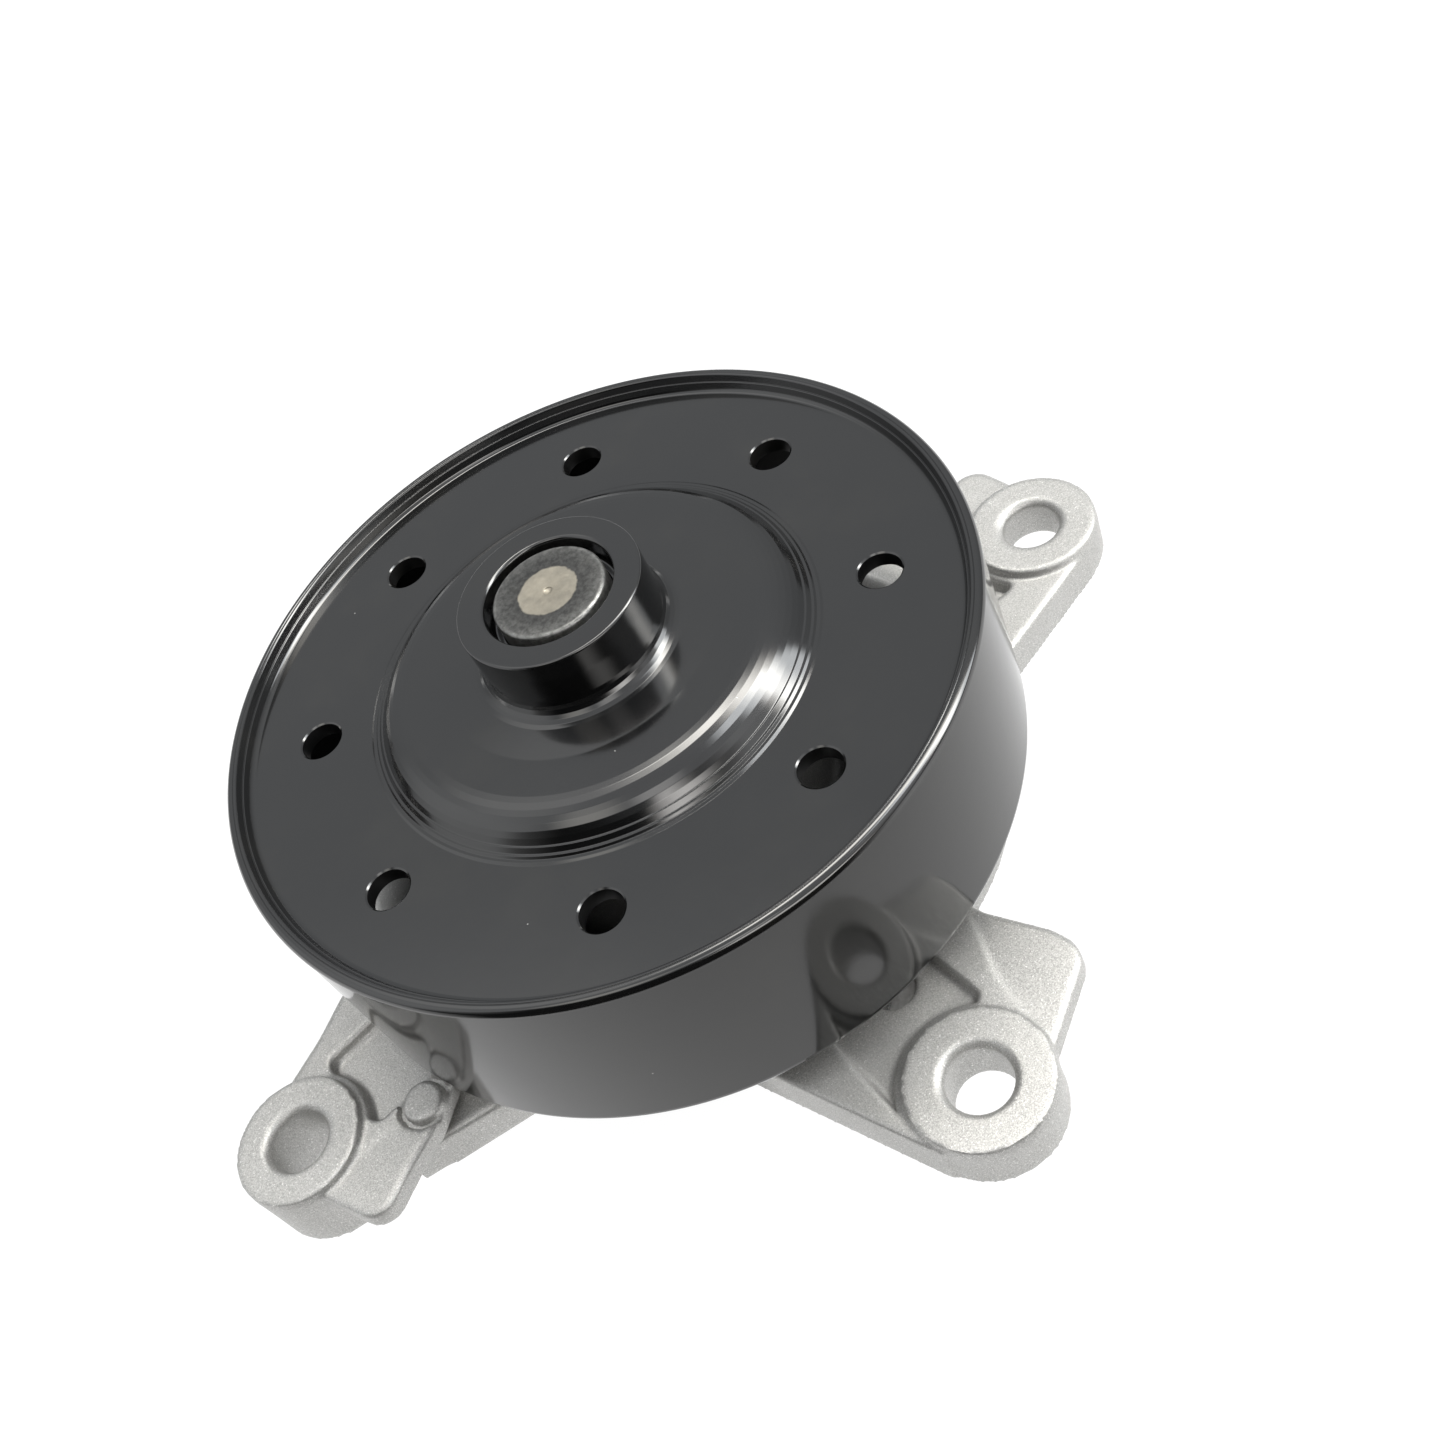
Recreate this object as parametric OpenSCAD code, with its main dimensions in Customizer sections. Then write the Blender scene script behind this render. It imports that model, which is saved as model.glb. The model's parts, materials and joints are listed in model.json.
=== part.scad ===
// Engine coolant pump with a pressed-on flat-belt pulley.
// Z is the shaft axis and points to the pulley. Z = 0 is the face that bolts to the engine.

/* [Pulley] */
// Radius of the smooth belt drum
drum_r = 54.7;          // [45:0.1:65]
// Height of the drum's open edge above the mounting face
drum_bottom = 13.5;     // [11:0.5:20]
// Height of the flat front web's outer surface
web_top = 42.6;         // [38:0.1:50]
// Thickness of the front web
web_t = 2.6;            // [2:0.1:4]
// Thickness of the drum wall
drum_t = 2.2;           // [1.5:0.1:4]
// Outer radius of the rolled lip
lip_r = 54.9;           // [45:0.1:66]
// Radius of the circle of round holes
hole_pcd_r = 41.3;      // [36:0.1:46]
// Diameter of each round hole
hole_d = 6;             // [4:0.5:10]
// Number of round holes
holes = 8;              // [4:1:12]
// Angle of the first round hole
hole_angle = 24.2;      // [0:0.1:45]
// Outer radius of the raised step round the dome
step_r = 33.2;          // [28:0.1:36]
// Outer radius of the hub collar
collar_r = 13.1;        // [11:0.1:18]
// Height of the collar's end face
collar_top = 57.1;      // [50:0.1:64]

/* [Shaft and bearing] */
// Shaft diameter
shaft_d = 16;           // [12:0.1:20]
// Height of the shaft's front end
shaft_top = 56.9;       // [50:0.1:64]
// Diameter of the reduced seat for the impeller
seat_d = 13;            // [10:0.5:16]
// Outside diameter of the bearing
race_d = 30;            // [26:0.1:40]
// Height of the bearing's lower end
race_low = 6.2;         // [3:0.1:12]
// Height of the bearing's upper end
race_high = 41.6;       // [36:0.1:46]
// Pitch radius of both rows of rolling elements
pitch_r = 10.1;         // [9:0.1:13]
// Number of balls in the front row
balls = 8;              // [6:1:12]
// Ball radius
ball_r = 3.0;           // [2:0.05:4]
// Height of the ball row
ball_z = 31;            // [22:0.5:36]
// Number of rollers in the rear row
rollers = 10;           // [6:1:14]
// Roller radius
roller_r = 1.95;        // [1:0.05:3]
// Roller length
roller_l = 8;           // [5:0.5:12]
// Height of the middle of the roller row
roller_z = 15.5;        // [12:0.5:20]

/* [Housing] */
// Height of the flange that carries the ears
flange_h = 7.5;         // [5:0.5:12]
// Radius of the flange's round body
flange_r = 46;          // [40:0.5:50]
// Radius of the neck that enters the engine
neck_r = 23.5;          // [21:0.5:28]
// Depth of the neck below the mounting face
neck_depth = 12.8;      // [8:0.1:20]
// Radius of the bearing tower at its root
tower_r1 = 25;          // [20:0.5:30]
// Radius of the bearing tower at its top
tower_r2 = 20.5;        // [18:0.5:26]
// Height of the bearing tower
tower_h = 39.5;         // [30:0.5:42]
// Radius of each ear boss
boss_r = 10;            // [8:0.5:13]
// Diameter of each bolt hole
bolt_d = 9;             // [6.5:0.5:11]
// Bolt hole chamfer
bolt_ch = 0.7;          // [0:0.1:1]
// Diameter of the two locating dowels
dowel_d = 6;            // [4:0.5:8]

/* [Seal] */
// Bore for the seal's case
seal_bore_d = 36.6;     // [32:0.1:40]
// Turns of the seal spring
spring_turns = 3;       // [2:1:5]

/* [Impeller] */
// Impeller radius
imp_r = 30;             // [24:0.5:36]
// Number of vanes
vanes = 7;              // [5:1:9]
// Height of the vane tips
vane_low = -29.5;       // [-36:0.5:-26]
// Upper face of the impeller's disc
disc_top = -18.4;       // [-22:0.1:-17]

/* [Hidden] */
$fn = 96;
tab_t = 3.5;
drum_in = drum_r - drum_t;
web_low = web_top - web_t;
shaft_r = shaft_d / 2;
seat_r = seat_d / 2;
race_r = race_d / 2;
race_in = 12.2;
race_len = race_high - race_low;
bolt_r = bolt_d / 2;
mouth_r = bolt_r + bolt_ch + 0.1;
dowel_r = dowel_d / 2;
seated_r = dowel_r + 0.2;
bush_r = seat_r + 2.5;
disc_low = disc_top - 3.2;
seal_r = seal_bore_d / 2;
chamber_r = 13;
seal_roof = -1;
lip_top = web_top + 2.5;
dome_top = web_top + 4.1;
dome_in = dome_top - web_t;
lobe_r = 38;
lobe_at = [-12, 12, 0];
groove_r = 36;
groove_w = 3.6;
groove_d = 2.5;
mate_top = -14.6;
mate_low = -17.6;
shaft_step = -18.4;
drain_a = 52;
drain_z = 5;
drain_r = 1.6;
drain_cap_at = 37;
cap_r = 5;
// Ears: angle, radius, boss height, plate height
ear_a = [281.7, 67.4, 8.7, 7.6];
ear_b = [195.9, 73.4, 12.4, 11.2];
ear_c = [8.4, 71.4, 7.6, 6.3];
ear_d = [95, 70, 8.7, 7.6];
ears = [ear_a, ear_b, ear_c, ear_d];
dowel_at = [[281.7 + 1.7, 48], [95 + 1.7, 48]];

module at_ear(ear) {
    rotate([0, 0, ear[0]]) children();
}

module ring(ro, ri, z0, z1) {
    translate([0, 0, z0]) difference() {
        cylinder(r = ro, h = z1 - z0);
        translate([0, 0, -1]) cylinder(r = ri, h = z1 - z0 + 2);
    }
}

// Ear A: a full-depth wall on one side of the boss and a thin rounded tab on the other.
module ear_a_body() {
    r = ear_a[1];
    linear_extrude(ear_a[3])
        polygon([[36, -22], [r + 2.6, -9.3], [r + 2.6, 9.2], [r - 5, 10], [58, 12], [46, 16], [36, 18]]);
    translate([0, 0, ear_a[3] - tab_t]) linear_extrude(tab_t) union() {
        polygon([[44, 14.6], [46, 0], [70, 0], [72, 8], [64.4, 20.2], [58.6, 21.8], [50.1, 17.6]]);
        translate([60.6, 17.8]) circle(r = 4.5);
    }
}

// Ear B: the tall boss, a thin tab beside it and a stepped root.
module ear_b_body() {
    r = ear_b[1];
    top = ear_b[3];
    linear_extrude(top)
        polygon([[38, -20], [50, -17], [56.2, -15.5], [62.9, -12.3], [r + 1.4, -9.2],
            [r + 1.4, 9.2], [64, 9.2], [38, 9.2]]);
    translate([0, 0, top - tab_t]) linear_extrude(tab_t) union() {
        polygon([[44, 0], [53.3, 11.4], [58.5, 14.7], [63.8, 16.5], [68.7, 18.6], [73.4, 16.6],
            [75.9, 8.6], [r, 0]]);
        translate([70.1, 15.4]) circle(r = 3.5);
    }
    linear_extrude(flange_h - 0.8)
        polygon([[36, 4], [62, 4], [62, 11.2], [58.4, 12.8], [52, 15.5], [36, 20]]);
    translate([57.2, 10.1, top - 3]) cylinder(r = 3.1, h = 3.2);
}

// Ear C: like ear A, lower, with a shorter tab.
module ear_c_body() {
    r = ear_c[1];
    linear_extrude(ear_c[3])
        polygon([[36, -21.4], [53.9, -16], [r + 2.8, -9.7], [r + 2.8, 9.2], [r - 5, 10], [58, 12], [36, 18]]);
    translate([0, 0, ear_c[3] - tab_t]) linear_extrude(tab_t) union() {
        polygon([[44, 12], [46, 0], [r, 0], [75.4, 8.6], [73.2, 15.7], [68, 18.2], [56, 15]]);
        translate([69.6, 14.6]) circle(r = 3.8);
    }
}

// Ear D sits behind the drum: the same boss on a plain arm.
module ear_d_body() {
    r = ear_d[1];
    linear_extrude(ear_d[3] - 1.1) polygon([[36, -20], [r + 2.6, -9.3], [r + 2.6, 9.3], [36, 20]]);
}

// Shallow recess between a boss and the drum, with rounded outer corners
module ear_pocket(r, z, depth, lo, hi) {
    c = 2.5;
    translate([0, 0, z - depth]) linear_extrude(depth + 4) difference() {
        union() {
            translate([44, lo]) square([r - 53 , hi - lo]);
            translate([r - 9.2, lo + c]) square([3, hi - lo - 2 * c]);
            translate([r - 9.2, lo + c]) circle(r = c);
            translate([r - 9.2, hi - c]) circle(r = c);
        }
        translate([r, 0]) circle(r = boss_r + 0.3);
        circle(r = 46.5);
    }
}

module gusset(a) {
    rotate([0, 0, a]) translate([0, 2, flange_h - 0.5]) rotate([90, 0, 0]) linear_extrude(4)
        polygon([[17, 0], [43, 0], [43, 1.5], [26, 22], [17, 22]]);
}

module housing() {
    color("Silver") difference() {
        union() {
            translate([4.4, -0.5, 0]) cylinder(r = flange_r, h = flange_h);
            translate(lobe_at) cylinder(r = lobe_r, h = flange_h);
            translate([0, 0, -neck_depth]) cylinder(r = neck_r, h = neck_depth + 1);
            translate([0, 0, flange_h - 1]) cylinder(r1 = tower_r1, r2 = tower_r2, h = tower_h - flange_h + 1);
            for (ear = ears) at_ear(ear) translate([ear[1], 0, 0])
                cylinder(r = ear == ear_b ? boss_r - 0.4 : boss_r, h = ear[2]);
            at_ear(ear_a) ear_a_body();
            at_ear(ear_b) ear_b_body();
            at_ear(ear_c) ear_c_body();
            at_ear(ear_d) ear_d_body();
            for (ear = ears) gusset(ear[0]);
        }
        // Seal bore, drain chamber and bearing bore on one axis
        translate([0, 0, -neck_depth - 1]) cylinder(r = seal_r, h = neck_depth + 1 + seal_roof);
        translate([0, 0, -3]) cylinder(r = chamber_r, h = race_low + 4);
        translate([0, 0, race_low]) cylinder(r = race_r, h = tower_h);
        translate([0, 0, tower_h - 0.8]) cylinder(r1 = race_r, r2 = race_r + 1, h = 1);
        // Gasket groove in the mounting face
        translate([0, 0, -0.1]) difference() {
            cylinder(r = groove_r + groove_w / 2, h = groove_d + 0.1);
            translate([0, 0, -1]) cylinder(r = groove_r - groove_w / 2, h = groove_d + 2);
        }
        // Bolt holes, chamfered at both ends
        for (ear = ears) at_ear(ear) translate([ear[1], 0, 0]) {
            translate([0, 0, -1]) cylinder(r = bolt_r, h = ear[2] + 2);
            translate([0, 0, ear[2] - bolt_ch]) cylinder(r1 = bolt_r, r2 = mouth_r, h = bolt_ch + 0.1);
            translate([0, 0, -0.1]) cylinder(r1 = mouth_r, r2 = bolt_r, h = bolt_ch + 0.1);
        }
        at_ear(ear_a) ear_pocket(ear_a[1], ear_a[3], 1.6, -11, 9.3);
        at_ear(ear_b) ear_pocket(ear_b[1], ear_b[3], 1.7, -8.3, 7.9);
        at_ear(ear_c) ear_pocket(ear_c[1], ear_c[3], 2.4, -7.4, 7.4);
        for (d = dowel_at) rotate([0, 0, d[0]]) translate([d[1], 0, -1]) cylinder(r = seated_r, h = 14);
        // Drain drilling from the chamber to the flange's edge, and the reservoir above it
        rotate([0, 0, drain_a]) translate([10, 0, drain_z]) rotate([0, 90, 0]) cylinder(r = drain_r, h = 50);
        rotate([0, 0, drain_a]) translate([drain_cap_at, 0, drain_z]) cylinder(r = cap_r, h = 8);
    }
}

module face_gasket() {
    color("DimGray") rotate_extrude() union() {
        translate([groove_r - 1.55, 0.1]) square([3.1, 2.35]);
        translate([groove_r, 0.1]) circle(r = 0.9);
    }
}

// Stepped dowels: the seated half is pressed into the flange, and the free half is ground to size
module dowel_pins() {
    color("Gainsboro") for (d = dowel_at) rotate([0, 0, d[0]]) translate([d[1], 0, 0]) {
        cylinder(r = seated_r, h = 4.8);
        translate([0, 0, -4.3]) cylinder(r = dowel_r, h = 4.4);
        translate([0, 0, -5]) cylinder(r1 = dowel_r - 0.6, r2 = dowel_r, h = 0.7);
    }
}

// Pressed cup that closes the drain reservoir
module drain_cap() {
    color("Goldenrod") rotate([0, 0, drain_a]) translate([drain_cap_at, 0, 0]) difference() {
        translate([0, 0, 6.2]) cylinder(r = cap_r, h = 1.8);
        translate([0, 0, 6.8]) cylinder(r = cap_r - 0.7, h = 2);
    }
}

module bearing_race() {
    color("LightSteelBlue") rotate_extrude() difference() {
        polygon([[race_in, race_low], [race_r - 0.5, race_low], [race_r, race_low + 0.5],
            [race_r, race_high - 0.5], [race_r - 0.5, race_high], [race_in, race_high]]);
        translate([pitch_r, ball_z]) circle(r = ball_r + 0.25);
    }
}

module front_balls() {
    color("WhiteSmoke") for (i = [0:balls - 1]) rotate([0, 0, i * 360 / balls])
        translate([pitch_r, 0, ball_z]) sphere(r = ball_r);
}

module front_cage() {
    color("Peru") difference() {
        ring(pitch_r + 1.2, pitch_r - 1.2, ball_z - 3.6, ball_z + 3.6);
        for (i = [0:balls - 1]) rotate([0, 0, i * 360 / balls])
            translate([pitch_r, 0, ball_z]) sphere(r = ball_r + 0.02);
    }
}

module rear_rollers() {
    color("WhiteSmoke") for (i = [0:rollers - 1]) rotate([0, 0, i * 360 / rollers])
        translate([pitch_r, 0, roller_z - roller_l / 2]) cylinder(r = roller_r, h = roller_l);
}

module rear_cage() {
    color("Peru") difference() {
        ring(pitch_r + 1.2, pitch_r - 1.2, roller_z - roller_l / 2 - 1.6, roller_z + roller_l / 2 + 1.6);
        for (i = [0:rollers - 1]) rotate([0, 0, i * 360 / rollers])
            translate([pitch_r, 0, roller_z - roller_l / 2 - 0.02])
                cylinder(r = roller_r + 0.02, h = roller_l + 0.04);
    }
}

// Lip seal: a stiff outer rim, a thin web and a lip close to the shaft
module lip_seal(z, up) {
    translate([0, 0, z]) turned(up) rotate_extrude()
        polygon([[race_in, 0], [race_in, 2.6], [race_in - 1, 2.6], [race_in - 1, 0.9],
            [shaft_r + 1.6, 0.9], [shaft_r + 0.25, 2.2], [shaft_r + 0.15, 1.6], [shaft_r + 0.9, 0]]);
}

module turned(up) {
    if (up) children();
    else mirror([0, 0, 1]) children();
}

module front_bearing_seal() {
    color("Maroon") lip_seal(race_high - 3.2, true);
}

module rear_bearing_seal() {
    color("Maroon") lip_seal(race_low + 3.2, false);
}

module shaft() {
    color("Gainsboro") difference() {
        union() {
            translate([0, 0, shaft_step]) cylinder(r = shaft_r, h = shaft_top - 0.6 - shaft_step);
            translate([0, 0, shaft_top - 0.6]) cylinder(r1 = shaft_r, r2 = shaft_r - 0.6, h = 0.6);
            translate([0, 0, vane_low + 1.4]) cylinder(r = seat_r, h = shaft_step - vane_low);
            translate([0, 0, vane_low + 0.8]) cylinder(r1 = seat_r - 0.6, r2 = seat_r, h = 0.6);
        }
        translate([0, 0, ball_z]) rotate_extrude() translate([pitch_r, 0]) circle(r = ball_r + 0.25);
        translate([0, 0, shaft_top - 0.5]) cylinder(r1 = 0, r2 = 0.6, h = 0.6);
        translate([0, 0, vane_low + 0.7]) cylinder(r1 = 2.2, r2 = 0, h = 2);
    }
}

// Sheet ring that throws dirt off ahead of the bearing
module dust_slinger() {
    color("DarkGray") union() {
        ring(shaft_r + 1.2, shaft_r, race_high + 0.4, race_high + 1.3);
        ring(13.4, shaft_r, race_high + 0.4, race_high + 1.1);
    }
}

// Rubber ring that throws leaked coolant off ahead of the bearing
module water_slinger() {
    color("DimGray") rotate_extrude()
        polygon([[shaft_r, 0.6], [shaft_r + 1.4, 0.6], [11.4, 2.6], [11.4, 3.4], [shaft_r + 1.6, 2.6],
            [shaft_r + 1.2, 4.4], [shaft_r, 4.4]]);
}

module seal_case() {
    color("Goldenrod") rotate_extrude()
        polygon([[10.6, -1.8], [10.6, -1.1], [seal_r, -1.1], [seal_r, -neck_depth], [20.8, -neck_depth],
            [20.8, -neck_depth - 0.8], [seal_r - 0.8, -neck_depth - 0.8], [seal_r - 0.8, -1.8]]);
}

// One flat-wound coil of round wire
module seal_spring() {
    rm = 16.2;
    wire = 1.3;
    rise = 5.8;
    pitch = rise / spring_turns;
    spread = 360 * wire / pitch / 2;
    color("LightGray") translate([0, 0, -8.8]) union() {
        linear_extrude(height = rise, twist = -360 * spring_turns, slices = 30 * spring_turns, $fn = 16)
            polygon([for (i = [0:23]) let (u = cos(i * 15), v = sin(i * 15))
                [(rm + v * wire / 2) * cos(u * spread / 2), (rm + v * wire / 2) * sin(u * spread / 2)]]);
    }
}

module seal_bellows() {
    color("DimGray") rotate_extrude()
        polygon([[10.8, -1.8], [17.4, -1.8], [17.4, -3], [13.4, -3], [12.4, -4.6], [13.8, -6.4], [15.1, -7.4],
            [15.1, -9.6], [9.9, -9.6], [9.9, -8.6], [12.6, -8.2], [11.4, -6.4], [10.4, -4.8], [10.8, -3]]);
}

// Pressed band that grips the rubber on the carbon ring
module seal_band() {
    color("Goldenrod") rotate_extrude()
        polygon([[15.1, -11.6], [15.7, -11.6], [15.7, -9.4], [17.2, -9.4], [17.2, -8.8], [15.1, -8.8]]);
}

module carbon_ring() {
    color("DarkSlateGray") rotate_extrude()
        polygon([[9.9, -9.6], [15.1, -9.6], [15.1, -12.4], [13.2, -13], [13.2, mate_top + 0.1],
            [10.9, mate_top + 0.1], [10.9, -13], [9.9, -12.4]]);
}

module mating_ring() {
    color("SlateGray") ring(14.4, 9.4, mate_low, mate_top);
}

module mating_cup() {
    color("DimGray") rotate_extrude()
        polygon([[shaft_r, mate_top - 0.4], [9.4, mate_top - 0.4], [9.4, mate_low], [14.4, mate_low],
            [14.4, mate_top - 1], [15.4, mate_top - 1], [15.4, shaft_step], [shaft_r, shaft_step]]);
}

// Back disc, hub and vanes in one moulding
module impeller_disc() {
    color("SteelBlue") difference() {
        union() {
            translate([0, 0, disc_low]) cylinder(r = imp_r, h = disc_top - disc_low);
            translate([0, 0, vane_low + 1]) cylinder(r1 = 10.8, r2 = 13, h = disc_low - vane_low - 0.5);
            intersection() {
                translate([0, 0, vane_low]) cylinder(r = imp_r - 0.3, h = disc_low + 0.5 - vane_low);
                for (i = [0:vanes - 1]) rotate([0, 0, i * 360 / vanes])
                    translate([16, 13, vane_low]) linear_extrude(disc_low + 0.5 - vane_low) difference() {
                        circle(r = 18.2);
                        circle(r = 15.8);
                        translate([-30, -8]) square([60, 40]);
                        translate([-40, -30]) square([30, 30]);
                    }
            }
        }
        translate([0, 0, vane_low - 1]) cylinder(r = bush_r, h = disc_top - vane_low + 2);
        for (a = [0:120:359]) rotate([0, 0, a + 17]) translate([19, 0, disc_low - 1]) cylinder(r = 2, h = 6);
    }
}

module impeller_bush() {
    color("Goldenrod") ring(bush_r, seat_r, vane_low + 1, disc_top);
}

// Drum, web, dome and hub collar pressed from one piece
module pulley() {
    color("DimGray") difference() {
        rotate_extrude() difference() {
            polygon([[shaft_r, web_top + 0.6], [shaft_r, collar_top - 3.4], [9.2, collar_top - 2.9],
                [9.2, collar_top - 0.6], [9.7, collar_top], [collar_r - 0.4, collar_top],
                [collar_r, collar_top - 0.4], [collar_r, dome_top + 3.1], [collar_r + 1, dome_top + 1.3],
                [collar_r + 3, dome_top + 0.4], [23.6, dome_top], [25.7, dome_top - 0.5],
                [27.5, dome_top - 1.7], [28.7, dome_top - 2.6], [29.9, dome_top - 2.9],
                [30.3, web_top + 0.8], [31.4, web_top + 0.8], [31.7, web_top + 0.4], [32.8, web_top + 0.4],
                [step_r, web_top], [lip_r - 3.6, web_top], [lip_r - 2.9, web_top + 0.5],
                [lip_r - 2.5, web_top + 1.3], [lip_r - 2.2, web_top + 1.2], [lip_r - 1.6, lip_top - 0.3],
                [lip_r - 1.2, lip_top], [lip_r - 0.7, lip_top], [lip_r - 0.2, lip_top - 0.4],
                [lip_r, lip_top - 1], [drum_r, lip_top - 1.3], [drum_r, drum_bottom + 2],
                [drum_r - 0.5, drum_bottom + 0.8], [drum_r - 1.6, drum_bottom], [drum_in + 0.2, drum_bottom],
                [drum_in, drum_bottom + 0.2], [drum_in, web_low - 1.4], [drum_in - 1.4, web_low],
                [31, web_low], [29, web_low + 0.8], [26.5, dome_in - 0.9], [24, dome_in],
                [15.4, dome_in + 0.2], [14.4, web_top + 0.6]]);
        }
        for (i = [0:holes - 1]) rotate([0, 0, hole_angle + i * 360 / holes])
            translate([hole_pcd_r, 0, web_low - 1]) cylinder(r = hole_d / 2, h = web_t + 2);
    }
}

housing();
face_gasket();
dowel_pins();
drain_cap();
bearing_race();
front_balls();
front_cage();
rear_rollers();
rear_cage();
front_bearing_seal();
rear_bearing_seal();
shaft();
dust_slinger();
water_slinger();
seal_case();
seal_spring();
seal_bellows();
seal_band();
carbon_ring();
mating_ring();
mating_cup();
impeller_disc();
impeller_bush();
pulley();
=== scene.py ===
"""Looks for an engine coolant pump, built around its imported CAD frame."""
import cmath
import json
import math

import bmesh
import bpy
import numpy as np
import openvdb
from mathutils import Euler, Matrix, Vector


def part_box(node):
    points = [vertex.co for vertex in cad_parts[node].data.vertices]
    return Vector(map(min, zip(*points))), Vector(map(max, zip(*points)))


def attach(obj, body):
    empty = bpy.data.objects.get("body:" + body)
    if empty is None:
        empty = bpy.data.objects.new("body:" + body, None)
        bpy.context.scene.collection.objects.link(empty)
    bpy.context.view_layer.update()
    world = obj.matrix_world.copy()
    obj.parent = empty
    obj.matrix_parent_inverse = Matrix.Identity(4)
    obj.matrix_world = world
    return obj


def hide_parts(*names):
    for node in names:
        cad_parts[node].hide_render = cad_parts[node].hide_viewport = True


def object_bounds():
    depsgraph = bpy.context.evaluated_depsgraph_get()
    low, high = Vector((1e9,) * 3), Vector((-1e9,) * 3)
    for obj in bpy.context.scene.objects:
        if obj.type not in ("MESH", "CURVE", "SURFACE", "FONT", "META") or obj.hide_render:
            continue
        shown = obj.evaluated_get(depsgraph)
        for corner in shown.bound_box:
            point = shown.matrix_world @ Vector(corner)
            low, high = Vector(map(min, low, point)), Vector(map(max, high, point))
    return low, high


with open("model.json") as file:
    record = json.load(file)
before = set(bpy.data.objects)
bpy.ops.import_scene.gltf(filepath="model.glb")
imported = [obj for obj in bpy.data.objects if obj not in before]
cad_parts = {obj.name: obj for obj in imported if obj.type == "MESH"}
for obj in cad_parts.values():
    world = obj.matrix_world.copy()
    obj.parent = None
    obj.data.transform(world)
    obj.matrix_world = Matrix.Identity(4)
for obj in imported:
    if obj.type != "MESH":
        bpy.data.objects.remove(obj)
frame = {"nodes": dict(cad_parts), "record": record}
cad_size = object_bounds()

# Sizes are in millimetres, in the part's own frame: Z is the shaft's axis, and the mounting face is at z = 0.
MM = 0.001

SHAFT_R = 8.0
SHAFT_TOP = 56.9
SHAFT_STEP = -18.4
SEAT_R = 6.5
# Pitch radius, height and ball radius
BALL_TRACK = (10.1, 31.0, 3.25)

COLLAR_R = 13.1
COLLAR_TOP = 57.1
MOUTH_R = 9.2
MOUTH_LOW = 53.9
DOME_TOP = 46.7
WEB_TOP = 42.6
WEB_T = 2.6
STEP_R = 33.2
LIP_R = 54.9
LIP_TOP = 45.1
DRUM_R = 54.7
DRUM_T = 2.2
DRUM_BOTTOM = 13.5
HOLE_PCD_R = 41.3
HOLE_R = 3.0
HOLES = 8
HOLE_ANGLE = 24.2

FLANGE_H = 7.5
FLANGE_R = 46
FLANGE_AT = (4.4, -0.5)
LOBE_R = 38
LOBE_AT = (-12, 12)
NECK_R = 23.5
NECK_LOW = -12.8
# Radius at the flange and at the top
TOWER_R = (25, 20.5)
TOWER_TOP = 39.5
# How far out and how high above the flange a gusset's slope starts, and which way the slope faces
GUSSET_CREST = (26, 21.5)
GUSSET_FACES = (20.5, 17)
GUSSET_T = 4
GUSSET_IN = 17
RACE_R = 15
RACE_LOW = 6.2
SEAL_R = 18.3
SEAL_ROOF = -1
CHAMBER_R = 13
BOLT_R = 4.5
BOLT_MOUTH_R = 5.3
TAB_T = 3.5
GROOVE_R = 36
GROOVE_W = 3.6
GROOVE_D = 2.5
DOWEL_R = 3.2
DOWEL_OFF = 1.7
DOWEL_AT = 48
DRAIN_ANGLE = 52
DRAIN_Z = 5
DRAIN_R = 1.6
DRAIN_CAP_AT = 37
DRAIN_CAP_R = 5

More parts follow.
